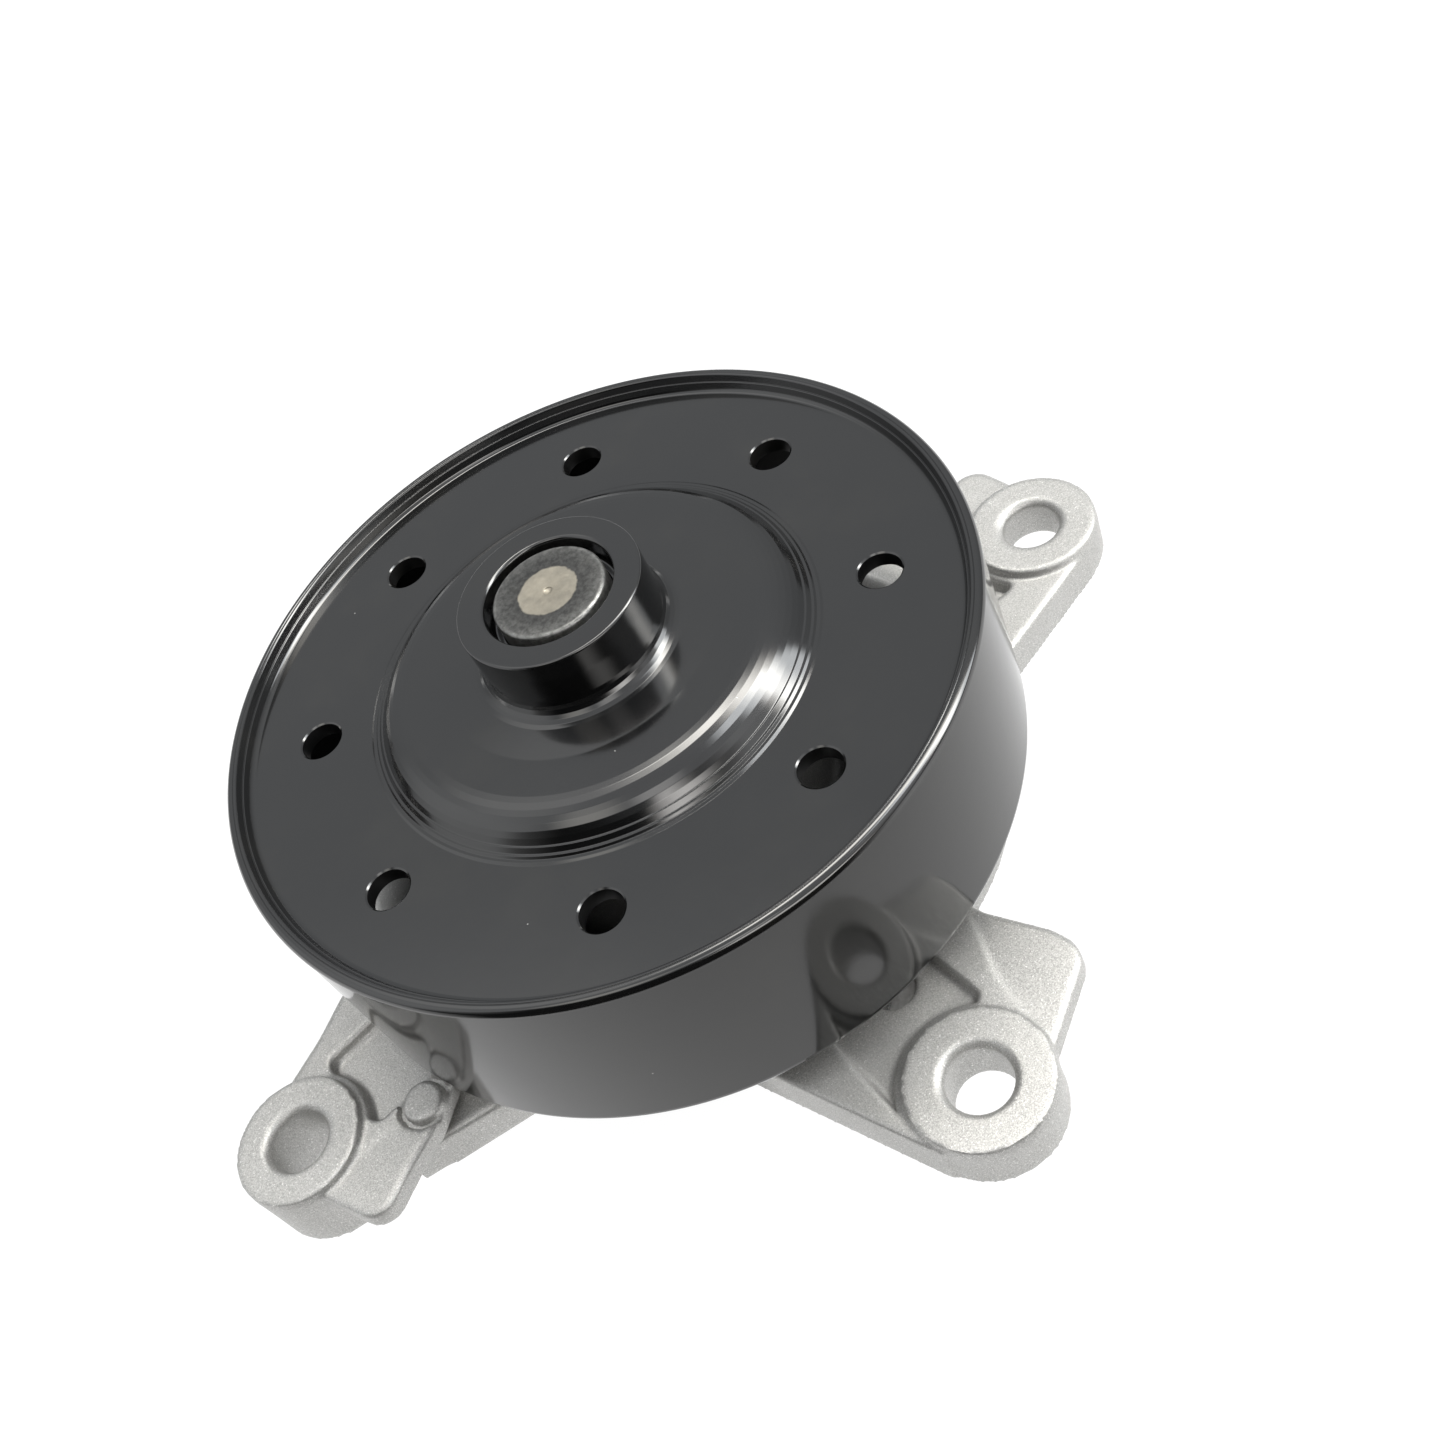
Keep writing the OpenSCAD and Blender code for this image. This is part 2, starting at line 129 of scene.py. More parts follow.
# Each ear in its own frame: X runs outwards through the boss, Y is 90 degrees round from it.
# Outlines are (x, y, corner radius).
EARS = {
    "a": {
        "angle": 281.7, "reach": 67.4, "boss_r": 10.0, "boss": 8.7, "plate": 7.6,
        "wall": [(34, -22.7, 0), (70.9, -9.9, 0), (70, 9, 0), (58, 12, 2), (46, 17, 0), (34, 19, 0)],
        "tab": [(44, 16, 0), (46, 0, 0), (68, 0, 0), (71, 9.6, 1), (64.1, 22.6, 4.5),
                (58.6, 21.4, 3), (50.1, 17.4, 2)],
        "pocket": [(42, -10.2, 0), (66.2, -10.9, 0), (67.4, 0, 0), (60.4, 6.6, 0), (58.6, 9.2, 2.2),
                   (42, 8.4, 0)],
        "pocket_depth": 1.6,
    },
    "b": {
        "angle": 195.9, "reach": 73.4, "boss_r": 9.6, "boss": 12.4, "plate": 11.2,
        "wall": [(36, -21, 0), (50, -17.4, 3), (56.2, -15.5, 4), (62.9, -12.2, 4), (71, -9.3, 0),
                 (75, 8.8, 0), (64, 9.2, 0), (36, 9.2, 0)],
        "tab": [(44, 0, 0), (53.3, 11.4, 1), (58.5, 14.7, 2), (63.8, 16.5, 3), (71.6, 20, 3.5),
                (75.9, 8.6, 1), (73, 0, 0)],
        "root": [(34, 0, 0), (60, 0, 0), (64.5, 11.6, 0), (59.4, 13.4, 5), (52, 15.7, 5), (34, 20.4, 0)],
        "pocket": [(42, -8.3, 0), (64.3, -8.3, 2.4), (66, 0, 0), (64.3, 7.9, 2.4), (42, 7.9, 0)],
        "pocket_depth": 1.7,
        "pad": (57.2, 10.1, 3.1),
    },
    "c": {
        "angle": 8.4, "reach": 71.4, "boss_r": 10.25, "boss": 7.6, "plate": 6.3,
        "wall": [(34, -22.4, 0), (53.9, -16.1, 0), (73.9, -10.2, 0), (73, 9, 0), (58, 12, 2), (34, 19, 0)],
        "tab": [(44, 14, 0), (46, 0, 0), (71, 0, 0), (76.2, 9, 1), (74.6, 19.2, 3.8), (56, 15.8, 4)],
        "pocket": [(42, -7.4, 0), (61.6, -7.4, 2.4), (66, 0, 0), (61.6, 7.4, 2.4), (42, 7.4, 0)],
        "pocket_depth": 2.4,
    },
    "d": {
        "angle": 95.0, "reach": 70.0, "boss_r": 10.0, "boss": 8.7, "plate": 7.6,
        "wall": [(34, -21, 0), (72.6, -10, 0), (72.6, 10, 0), (34, 21, 0)],
    },
}

IMPELLER_R = 30
DISC = (-21.6, -18.4)
VANE_LOW = -29.5
VANES = 7
# A vane is part of a ring wall of this radius, round this centre in its own frame.
VANE_R = 17
VANE_CENTRE = (16, 13)
VANE_T = 2.4
VANE_IN = 6
VANE_PAST_CENTRE = 8
HUB_R = 10.8
HUB_FLARE = 2.2
BUSH_R = 9
VENT_AT = 19
VENT_R = 2
VENT_ANGLES = (17, 137, 257)


# ---------------------------------------------------------------- outlines

def rounded(corners, steps=7):
    """Points round a closed run of (x, y, radius) corners, each turned by an arc of its radius."""
    points = []
    for i, (x, y, radius) in enumerate(corners):
        here = complex(x, y)
        if radius == 0:
            points.append((x, y))
            continue
        before = complex(*corners[i - 1][:2]) - here
        after = complex(*corners[(i + 1) % len(corners)][:2]) - here
        before, after = before / abs(before), after / abs(after)
        half = abs(cmath.phase(after / before)) / 2
        middle = (before + after) / abs(before + after)
        centre = here + middle * radius / math.sin(half)
        start = here + before * radius / math.tan(half) - centre
        end = here + after * radius / math.tan(half) - centre
        sweep = cmath.phase(end / start)
        for k in range(steps + 1):
            spoke = centre + start * cmath.exp(1j * sweep * k / steps)
            points.append((spoke.real, spoke.imag))
    return points


# ---------------------------------------------------------------- shapes as distance fields

def outline_distance(corners, x, y):
    """How far each place is outside an outline, and below zero how far inside."""
    outline = rounded(corners)
    nearest = np.full(np.broadcast(x, y).shape, np.inf, np.float32)
    inside = np.zeros(nearest.shape, bool)
    for (ax, ay), (bx, by) in zip(outline, outline[1:] + outline[:1]):
        along_x, along_y = bx - ax, by - ay
        from_x, from_y = x - ax, y - ay
        share = np.clip((from_x * along_x + from_y * along_y) / (along_x ** 2 + along_y ** 2), 0, 1)
        nearest = np.minimum(nearest, (from_x - share * along_x) ** 2 + (from_y - share * along_y) ** 2)
        if ay != by:
            inside ^= ((ay > y) != (by > y)) & (x < ax + (y - ay) * along_x / along_y)
    return np.where(inside, -1, 1).astype(np.float32) * np.sqrt(nearest)


def prism(side, z, low, high, soft=0.0, draft=0.0):
    """A flat shape raised from low to high, with rounded edges and a wall that widens downwards."""
    side = side - draft * (high - z) + soft
    cap = np.abs(z - (low + high) / 2) - (high - low) / 2 + soft
    return np.minimum(np.maximum(side, cap), 0) + np.hypot(np.maximum(side, 0), np.maximum(cap, 0)) - soft


def join(a, b, fillet):
    """Both shapes, with a fillet where they meet."""
    mix = np.clip(0.5 + 0.5 * (b - a) / fillet, 0, 1)
    return b + (a - b) * mix - fillet * mix * (1 - mix)


def cut(a, b, soft=0.0):
    """The first shape without the second, with its new edge rounded."""
    return -join(-a, b, soft) if soft else np.maximum(a, -b)


def samples(low, high, cell):
    """Evenly spaced places along X, Y and Z that spread over a block."""
    axes = [np.arange(a, b + cell, cell, dtype=np.float32) for a, b in zip(low, high)]
    return axes[0][:, None, None], axes[1][None, :, None], axes[2][None, None, :]


def window(axes, low, high):
    """The slices of a block between two corners."""
    ranges = []
    for axis, a, b in zip(axes, low, high):
        places = np.flatnonzero((axis.ravel() >= a) & (axis.ravel() <= b))
        ranges.append(slice(places[0], places[-1] + 1))
    return tuple(ranges)


def turned(x, y, angle):
    """Places in a frame turned about Z."""
    c, s = math.cos(math.radians(angle)), math.sin(math.radians(angle))
    return x * c + y * s, y * c - x * s


def skin(name, field, axes, cell):
    """A smooth mesh of the surface where a distance field is zero."""
    grid = openvdb.FloatGrid(3 * cell)
    grid.copyFromArray(np.clip(field, -3 * cell, 3 * cell).astype(np.float32))
    points, triangles, quads = grid.convertToPolygons(isovalue=0.0, adaptivity=0.0)
    start = np.array([axis.ravel()[0] for axis in axes])
    mesh = bpy.data.meshes.new(name)
    faces = [tuple(f) for f in quads.tolist()] + [tuple(f) for f in triangles.tolist()]
    mesh.from_pydata(((points * cell + start) * MM).tolist(), [], faces)
    return mesh


# ---------------------------------------------------------------- turned shapes

def held(profile, margin=0.06):
    """An outline with a point close to each end of its longer runs, so that flats shade flat."""
    points = []
    for (ax, ay), (bx, by) in zip(profile, profile[1:] + profile[:1]):
        points.append((ax, ay))
        length = math.hypot(bx - ax, by - ay)
        if length > 0.35:
            for share in (margin / length, 1 - margin / length):
                points.append((ax + (bx - ax) * share, ay + (by - ay) * share))
    return points


def turned_mesh(name, profile, segments=256):
    """A mesh of a closed (radius, height) outline turned about Z."""
    shape = bmesh.new()
    ring = [shape.verts.new((r * MM, 0, z * MM)) for r, z in profile]
    edges = [shape.edges.new((a, b)) for a, b in zip(ring, ring[1:] + ring[:1])]
    bmesh.ops.spin(shape, geom=ring + edges, axis=(0, 0, 1), angle=2 * math.pi, steps=segments,
                   use_merge=True)
    bmesh.ops.remove_doubles(shape, verts=shape.verts, dist=1e-7)
    flat = [f for f in shape.faces if f.calc_area() < 1e-14]
    bmesh.ops.delete(shape, geom=flat, context="FACES")
    bmesh.ops.recalc_face_normals(shape, faces=shape.faces)
    mesh = bpy.data.meshes.new(name)
    shape.to_mesh(mesh)
    shape.free()
    return mesh


def smooth(mesh, degrees=32):
    """Smooth shading, broken at edges sharper than an angle."""
    mesh.shade_smooth()
    mesh.set_sharp_from_angle(angle=math.radians(degrees))


def piece(name, mesh, body, slot, *nodes):
    """A visible piece that rides on a body and stands for CAD nodes."""
    made = bpy.data.objects.new(name, mesh)
    bpy.context.scene.collection.objects.link(made)
    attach(made, body)
    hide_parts(*nodes)
    return made


# ---------------------------------------------------------------- materials

def material(name, colour, roughness, metallic=0.0, **sockets):
    """A new material with its even values set, and what is needed to build on it."""
    made = bpy.data.materials.new(name)
    made.use_nodes = True
    shader = made.node_tree.nodes["Principled BSDF"]
    shader.inputs["Base Color"].default_value = (*colour, 1)
    shader.inputs["Roughness"].default_value = roughness
    shader.inputs["Metallic"].default_value = metallic
    for key, value in sockets.items():
        shader.inputs[key.replace("_", " ")].default_value = value
    return made, made.node_tree, shader


def node(tree, kind, inputs=None, **settings):
    """A shader node whose inputs are values, or sockets to link."""
    made = tree.nodes.new("ShaderNode" + kind)
    for key, value in settings.items():
        setattr(made, key, value)
    for key, value in (inputs or {}).items():
        if isinstance(value, bpy.types.NodeSocket):
            tree.links.new(value, made.inputs[key])
        else:
            made.inputs[key].default_value = value
    return made


def places(tree):
    return node(tree, "TexCoord").outputs["Object"]


def noise(tree, at, scale, detail=3.0, roughness=0.55):
    made = node(tree, "TexNoise", {"Vector": at, "Scale": scale, "Detail": detail, "Roughness": roughness})
    return made.outputs["Fac"]


def ramp(tree, value, stops):
    """A colour ramp of (place, grey or colour) stops."""
    made = node(tree, "ValToRGB", {"Fac": value})
    elements = made.color_ramp.elements
    while len(elements) < len(stops):
        elements.new(0.5)
    for element, (place, colour) in zip(elements, stops):
        element.position = place
        element.color = (*colour, 1) if isinstance(colour, tuple) else (colour, colour, colour, 1)
    return made.outputs["Color"]


def sums(tree, operation, a, b=0.0, clamp=False):
    return node(tree, "Math", {0: a, 1: b}, operation=operation, use_clamp=clamp).outputs[0]


def mixed(tree, share, a, b):
    made = node(tree, "Mix", {"Factor": share}, data_type="RGBA")
    for socket, value in ((made.inputs[6], a), (made.inputs[7], b)):
        if isinstance(value, bpy.types.NodeSocket):
            tree.links.new(value, socket)
        else:
            socket.default_value = (*value, 1)
    return made.outputs[2]


def multiplied(tree, a, b, share=1.0):
    """One colour darkened or lightened by another."""
    return node(tree, "Mix", {0: share, 6: a, 7: b}, data_type="RGBA", blend_type="MULTIPLY").outputs[2]


def bump(tree, height, strength, distance):
    made = node(tree, "Bump", {"Height": height, "Strength": strength, "Distance": distance})
    return made.outputs["Normal"]


def axis_distance(tree, at):
    """How far each place is from the shaft's axis."""
    split = node(tree, "SeparateXYZ", {"Vector": at})
    flat = node(tree, "CombineXYZ", {"X": split.outputs["X"], "Y": split.outputs["Y"]})
    return node(tree, "VectorMath", {0: flat.outputs[0]}, operation="LENGTH").outputs["Value"]


def cast_aluminium():
    """Blasted die-cast aluminium: fine pale grain with tiny bright facets, and painted shade towards the axis
    under the pulley.
    """
    made, tree, shader = material("cast_aluminium", (0.46, 0.455, 0.44), 0.5, 0.7)
    at = places(tree)
    grain = noise(tree, at, 5600, 2.0, 0.6)
    light = ramp(tree, grain, [(0.34, (0.38, 0.376, 0.366)), (0.5, (0.5, 0.496, 0.484)),
                               (0.66, (0.62, 0.616, 0.6))])
    facet = sums(tree, "GREATER_THAN", noise(tree, at, 4300, 1.0), 0.69)
    sparkling = mixed(tree, facet, light, (0.85, 0.845, 0.83))
    shade = ramp(tree, noise(tree, at, 90, 3.0), [(0.3, (0.9, 0.9, 0.895)), (0.7, (1.0, 1.0, 1.0))])
    # Painted shade: the base colour falls to a fifth within 42 mm of the shaft's axis, fading out by 50 mm,
    # standing in for the shade under the pulley's drum.
    under_pulley_shade = ramp(tree, sums(tree, "MULTIPLY", axis_distance(tree, at), 10), [(0.42, 0.2), (0.5, 1.0)])
    shade_darkened_colour = multiplied(tree, multiplied(tree, sparkling, shade), under_pulley_shade)
    tree.links.new(shade_darkened_colour, shader.inputs["Base Color"])
    tree.links.new(ramp(tree, grain, [(0.3, 0.56), (0.7, 0.38)]), shader.inputs["Roughness"])
    tree.links.new(bump(tree, grain, 0.35, 0.00008), shader.inputs["Normal"])
    return made


def black_coat(name, roughness, ior):
    """Glossy electro-coat with faint blotches, sparse dust specks and a trace of ripple."""
    made, tree, shader = material(name, (0.003, 0.003, 0.0032), roughness, IOR=ior)
    at = places(tree)
    stain = noise(tree, at, 60, 4.0, 0.6)
    base = ramp(tree, stain, [(0.35, (0.002, 0.0022, 0.0025)), (0.55, (0.003, 0.003, 0.003)),
                              (0.72, (0.006, 0.0058, 0.005))])
    cells = node(tree, "TexVoronoi", {"Vector": at, "Scale": 300.0})
    near = sums(tree, "LESS_THAN", cells.outputs["Distance"], 0.03)
    pick = node(tree, "SeparateColor", {"Color": cells.outputs["Color"]}).outputs["Red"]
    speck = sums(tree, "MULTIPLY", near, sums(tree, "GREATER_THAN", pick, 0.92))
    tree.links.new(mixed(tree, speck, base, (0.3, 0.3, 0.29)), shader.inputs["Base Color"])
    patch = noise(tree, at, 110, 4.0, 0.6)
    uneven = ramp(tree, patch, [(0.3, roughness * 0.9), (0.7, roughness * 1.2)])
    tree.links.new(uneven, shader.inputs["Roughness"])
    tree.links.new(bump(tree, noise(tree, at, 300, 2.0), 0.03, 0.0002), shader.inputs["Normal"])
    return made


def shaft_steel():
    """Ground steel, stained towards the rim of its end, with a bright round centre."""
    made, tree, shader = material("shaft_steel", (0.4, 0.39, 0.37), 0.35, 0.85)
    at = places(tree)
    wobble = sums(tree, "MULTIPLY", noise(tree, at, 900, 3.0), 0.0006)
    spread = sums(tree, "MULTIPLY", sums(tree, "ADD", axis_distance(tree, at), wobble), 100)
    zones = ramp(tree, spread, [
        (0.0, (0.36, 0.33, 0.27)), (0.435, (0.38, 0.35, 0.29)), (0.46, (0.08, 0.08, 0.078)),
        (0.62, (0.1, 0.1, 0.097)), (0.76, (0.14, 0.14, 0.135)), (0.83, (0.3, 0.3, 0.29))])
    spots = ramp(tree, noise(tree, at, 1500, 4.0, 0.7), [(0.38, 0.6), (0.52, 1.0), (0.66, 1.35)])
    patchy = ramp(tree, spread, [(0.43, 0.15), (0.47, 0.8)])
    tree.links.new(multiplied(tree, zones, spots, patchy), shader.inputs["Base Color"])
    finish = ramp(tree, noise(tree, at, 700, 3.0), [(0.3, 0.3), (0.7, 0.5)])
    tree.links.new(finish, shader.inputs["Roughness"])
    tree.links.new(bump(tree, noise(tree, at, 1800, 3.0), 0.15, 0.0001), shader.inputs["Normal"])
    return made


def bare_metal(name, dark, light, roughness, scale=1200, metallic=0.9):
    """Plain metal with a fine uneven tone and finish."""
    made, tree, shader = material(name, light, roughness, metallic)
    at = places(tree)
    tone = noise(tree, at, scale, 3.0)
    tree.links.new(ramp(tree, tone, [(0.35, dark), (0.65, light)]), shader.inputs["Base Color"])
    finish = ramp(tree, noise(tree, at, scale / 5, 3.0), [(0.3, roughness * 0.8), (0.7, roughness * 1.25)])
    tree.links.new(finish, shader.inputs["Roughness"])
    tree.links.new(bump(tree, tone, 0.12, 0.00005), shader.inputs["Normal"])
    return made


def moulding(name, dark, light, roughness, scale=900, metallic=0.0):
    """Rubber, plastic or carbon with a fine moulded grain."""
    made, tree, shader = material(name, light, roughness, metallic)
    at = places(tree)
    tone = noise(tree, at, scale, 4.0, 0.6)
    tree.links.new(ramp(tree, tone, [(0.35, dark), (0.65, light)]), shader.inputs["Base Color"])
    finish = ramp(tree, tone, [(0.3, roughness * 0.85), (0.7, min(roughness * 1.15, 1))])
    tree.links.new(finish, shader.inputs["Roughness"])
    tree.links.new(bump(tree, tone, 0.2, 0.0001), shader.inputs["Normal"])
    return made


def floor_white():
    """A lit white floor, clear from below so that the underside can be looked at."""
    made, tree, shader = material("floor_white", (0.12, 0.12, 0.12), 0.9)
    below = node(tree, "NewGeometry").outputs["Backfacing"]
    tree.links.new(sums(tree, "SUBTRACT", 1.0, below), shader.inputs["Alpha"])
    shader.inputs["Emission Color"].default_value = (1, 1, 1, 1)
    shader.inputs["Emission Strength"].default_value = 0.94
    return made


SLOT_LOOKS = {
    "cast_body": cast_aluminium(),
    "black_coat": black_coat("face_coat", 0.11, 1.85),
    "shaft_steel": shaft_steel(),
    "bearing_steel": bare_metal("bearing_steel", (0.5, 0.5, 0.51), (0.62, 0.62, 0.63), 0.16),
    "hard_steel": bare_metal("hard_steel", (0.42, 0.42, 0.42), (0.58, 0.58, 0.58), 0.28),
    "zinc_steel": bare_metal("zinc_steel", (0.45, 0.45, 0.43), (0.6, 0.6, 0.57), 0.35, 500),
    "spring_steel": bare_metal("spring_steel", (0.38, 0.38, 0.38), (0.5, 0.5, 0.5), 0.3),
    "seal_rubber": moulding("seal_rubber", (0.016, 0.016, 0.016), (0.028, 0.028, 0.028), 0.62),
    "brass": bare_metal("brass", (0.58, 0.42, 0.19), (0.74, 0.56, 0.28), 0.28, 800),
    "cage": moulding("cage_nylon", (0.05, 0.11, 0.06), (0.08, 0.17, 0.1), 0.5),
    "carbon": moulding("carbon", (0.03, 0.03, 0.033), (0.05, 0.05, 0.054), 0.34, 1600),
    "ceramic_ring": moulding("ceramic", (0.3, 0.3, 0.31), (0.4, 0.4, 0.41), 0.22, 1600),
    "moulded_impeller": moulding("impeller_moulding", (0.035, 0.035, 0.038), (0.06, 0.06, 0.064), 0.48, 700),
}
DRUM_COAT = black_coat("drum_coat", 0.11, 1.5)
INSIDE_COAT = black_coat("inside_coat", 0.5, 1.25)


# ---------------------------------------------------------------- pulley

def pulley_profile():
    """The pressing's outline from the shaft bore over the collar, dome, web and lip, and back inside."""
    base = DOME_TOP + 0.8
    ledge = WEB_TOP + 1.1
    inner = DRUM_R - DRUM_T
    web_low = WEB_TOP - WEB_T
    dome_low = DOME_TOP - WEB_T
    return held(rounded([
        (SHAFT_R + 0.02, WEB_TOP + 0.6, 0.3), (SHAFT_R + 0.02, MOUTH_LOW - 0.4, 0.2),
        (MOUTH_R, MOUTH_LOW - 0.4, 0.5), (MOUTH_R, COLLAR_TOP, 0.55), (COLLAR_R, COLLAR_TOP, 0.35),
        (COLLAR_R, base, 2.6), (20, DOME_TOP + 0.2, 6), (28.4, DOME_TOP - 0.1, 6.8),
        (30.95, ledge, 0.15), (31.2, ledge, 0.06), (31.75, ledge - 0.6, 0.1), (32.1, ledge - 0.6, 0.06),
        (32.4, WEB_TOP + 0.2, 0.1), (32.85, WEB_TOP + 0.2, 0.06), (STEP_R, WEB_TOP, 0.1),
        (LIP_R - 2.8, WEB_TOP, 0.8), (LIP_R - 2.3, WEB_TOP + 1.5, 0.12), (LIP_R - 2.1, WEB_TOP + 1.35, 0.06),
        (LIP_R - 1.7, LIP_TOP, 0.3), (LIP_R - 1.32, LIP_TOP, 0.06), (LIP_R - 1.25, LIP_TOP - 0.12, 0.05),
        (LIP_R - 1.18, LIP_TOP, 0.06),
        (LIP_R, LIP_TOP, 1.05), (LIP_R, LIP_TOP - 1.3, 0.1), (DRUM_R, LIP_TOP - 1.5, 0.1),
        (DRUM_R, DRUM_BOTTOM, 1.9), (inner, DRUM_BOTTOM, 0.15), (inner, web_low, 1.8),
        (31, web_low, 1.2), (26.6, dome_low, 3), (COLLAR_R + 1.6, dome_low + 0.4, 0.8),
        (COLLAR_R + 1.0, WEB_TOP + 0.6, 0.4)], 6))


def hole_cutters():
    """Round cutters for the web, flared where they leave each face so that the rims come out rounded."""
    flare = 0.3
    web_low = WEB_TOP - WEB_T
    profile = [(0, web_low - 2), (HOLE_R + flare, web_low - 2), (HOLE_R + flare, web_low),
               (HOLE_R + 0.08, web_low + 0.18), (HOLE_R, web_low + 0.45), (HOLE_R, WEB_TOP - 0.45),
               (HOLE_R + 0.08, WEB_TOP - 0.18), (HOLE_R + flare, WEB_TOP), (HOLE_R + flare, WEB_TOP + 2),
               (0, WEB_TOP + 2)]
    one = turned_mesh("cutter", profile, 64)
    joined = bmesh.new()
    for i in range(HOLES):
        before = len(joined.verts)
        joined.from_mesh(one)
        joined.verts.ensure_lookup_table()
        angle = math.radians(HOLE_ANGLE + i * 360 / HOLES)
        shift = (HOLE_PCD_R * MM * math.cos(angle), HOLE_PCD_R * MM * math.sin(angle), 0)
        bmesh.ops.translate(joined, verts=joined.verts[before:], vec=shift)
    mesh = bpy.data.meshes.new("cutters")
    joined.to_mesh(mesh)
    joined.free()
    return mesh


def drilled(mesh, cutter_mesh):
    """A mesh with the cutters' volume taken away."""
    whole = bpy.data.objects.new("whole", mesh)
    cutter = bpy.data.objects.new("cutter", cutter_mesh)
    for part in (whole, cutter):
        bpy.context.scene.collection.objects.link(part)
    drill = whole.modifiers.new("drill", "BOOLEAN")
    drill.object = cutter
    drill.solver = "EXACT"
    bpy.context.view_layer.update()
    result = bpy.data.meshes.new_from_object(whole.evaluated_get(bpy.context.evaluated_depsgraph_get()))
    for part in (whole, cutter):
        bpy.data.objects.remove(part)
    return result


def make_pulley():
    """The pressing, with a duller coat on its belt face and the dullest inside and in its holes."""
    mesh = drilled(turned_mesh("pulley", pulley_profile()), hole_cutters())
    smooth(mesh)
    mesh.materials.clear()
    mesh.materials.append(SLOT_LOOKS["black_coat"])
    mesh.materials.append(DRUM_COAT)
    mesh.materials.append(INSIDE_COAT)
    for face in mesh.polygons:
        r, z = math.hypot(*face.center[:2]) / MM, face.center.z / MM
        if r > DRUM_R - 0.1 and z < LIP_TOP - 1:
            face.material_index = 1
        elif r < DRUM_R - 0.5 and z < WEB_TOP - 0.25:
            face.material_index = 2
    return piece("pulley_pressing", mesh, "rotor", "black_coat", "pulley")


# ---------------------------------------------------------------- shaft

def make_shaft():
    """The ground shaft with its centre mark, its ball track and the seat for the impeller."""
    track_r, track_z, ball_r = BALL_TRACK
    half = math.sqrt(ball_r ** 2 - (track_r - SHAFT_R) ** 2)
    track = []
    for k in range(9):
        z = track_z + half * (1 - k / 4)
        track.append((track_r - math.sqrt(ball_r ** 2 - (z - track_z) ** 2), z))
    low = VANE_LOW + 0.8
    top = rounded([(0.6, SHAFT_TOP, 0.1), (SHAFT_R, SHAFT_TOP, 0.5), (SHAFT_R, track_z + half, 0)])
    bottom = rounded([(SHAFT_R, SHAFT_STEP, 0.2), (SEAT_R, SHAFT_STEP, 0.2), (SEAT_R, low, 0.6),
                      (2.2, low, 0.1)])
    profile = [(0, SHAFT_TOP - 0.5)] + top[:-1] + track + bottom + [(0, low + 2)]
    mesh = turned_mesh("shaft", profile, 128)
    smooth(mesh)
    mesh.materials.append(SLOT_LOOKS["shaft_steel"])
    return piece("shaft_ground", mesh, "rotor", "shaft_steel", "shaft")


# ---------------------------------------------------------------- housing

def ear_field(ear, x, y, z):
    """One ear with its boss, plate, tab and pocket, but without its bolt hole."""
    u, v = turned(x, y, ear["angle"])
    from_boss = np.hypot(u - ear["reach"], v)
    top = ear["plate"]
    solid = prism(outline_distance(ear["wall"], u, v), z, -2, top, 0.6, 0.03)
    if "root" in ear:
        root = prism(outline_distance(ear["root"], u, v), z, -2, FLANGE_H - 0.8, 0.8, 0.04)
        solid = join(solid, root, 1.2)
    if "tab" in ear:
        tab = prism(outline_distance(ear["tab"], u, v), z, top - TAB_T, top, 0.6, 0.05)
        solid = join(solid, tab, 0.6)
    column = prism(from_boss - ear["boss_r"], z, -2, top, 0.5, -0.05)
    solid = join(solid, column, 0.6)
    if "pocket" in ear:
        area = np.maximum(outline_distance(ear["pocket"], u, v), ear["boss_r"] + 0.35 - from_boss)
        floor = top - ear["pocket_depth"]
        solid = cut(solid, prism(area, z, floor, top + 6, 0.5, -0.12), 0.5)
    if "pad" in ear:
        pad_u, pad_v, pad_r = ear["pad"]
        off = np.hypot(u - pad_u, v - pad_v)
        solid = cut(solid, prism(np.abs(off - pad_r - 0.4) - 0.4, z, top - 0.9, top + 6))
        solid = np.minimum(solid, prism(off - pad_r, z, top - 3, top + 0.5, 0.2))
    boss = prism(from_boss - ear["boss_r"], z, -2, ear["boss"], 0.25, 0.02)
    return join(solid, boss, 0.5)


def gusset_field(angle, x, y, z):
    """A rib with a sloping edge, from the flange up to the bearing tower."""
    u, v = turned(x, y, angle)
    out, up = GUSSET_CREST
    face_u, face_z = GUSSET_FACES
    slope = ((u - out) * face_u + (z - FLANGE_H - up) * face_z) / math.hypot(face_u, face_z)
    sides = np.maximum(np.abs(v) - GUSSET_T / 2, GUSSET_IN - u)
    return np.maximum(np.maximum(sides, slope), np.maximum(z - FLANGE_H - up, FLANGE_H - 1 - z))


def around(axes, angle, reach, half, low, high):
    """The part of the samples near a place at an angle and reach: its slices, its axes and its centre."""
    a = math.radians(angle)
    cx, cy = reach * math.cos(a), reach * math.sin(a)
    block = window(axes, (cx - half, cy - half, low), (cx + half, cy + half, high))
    x, y, z = axes
    return block, (x[block[0]], y[:, block[1]], z[:, :, block[2]]), (cx, cy)


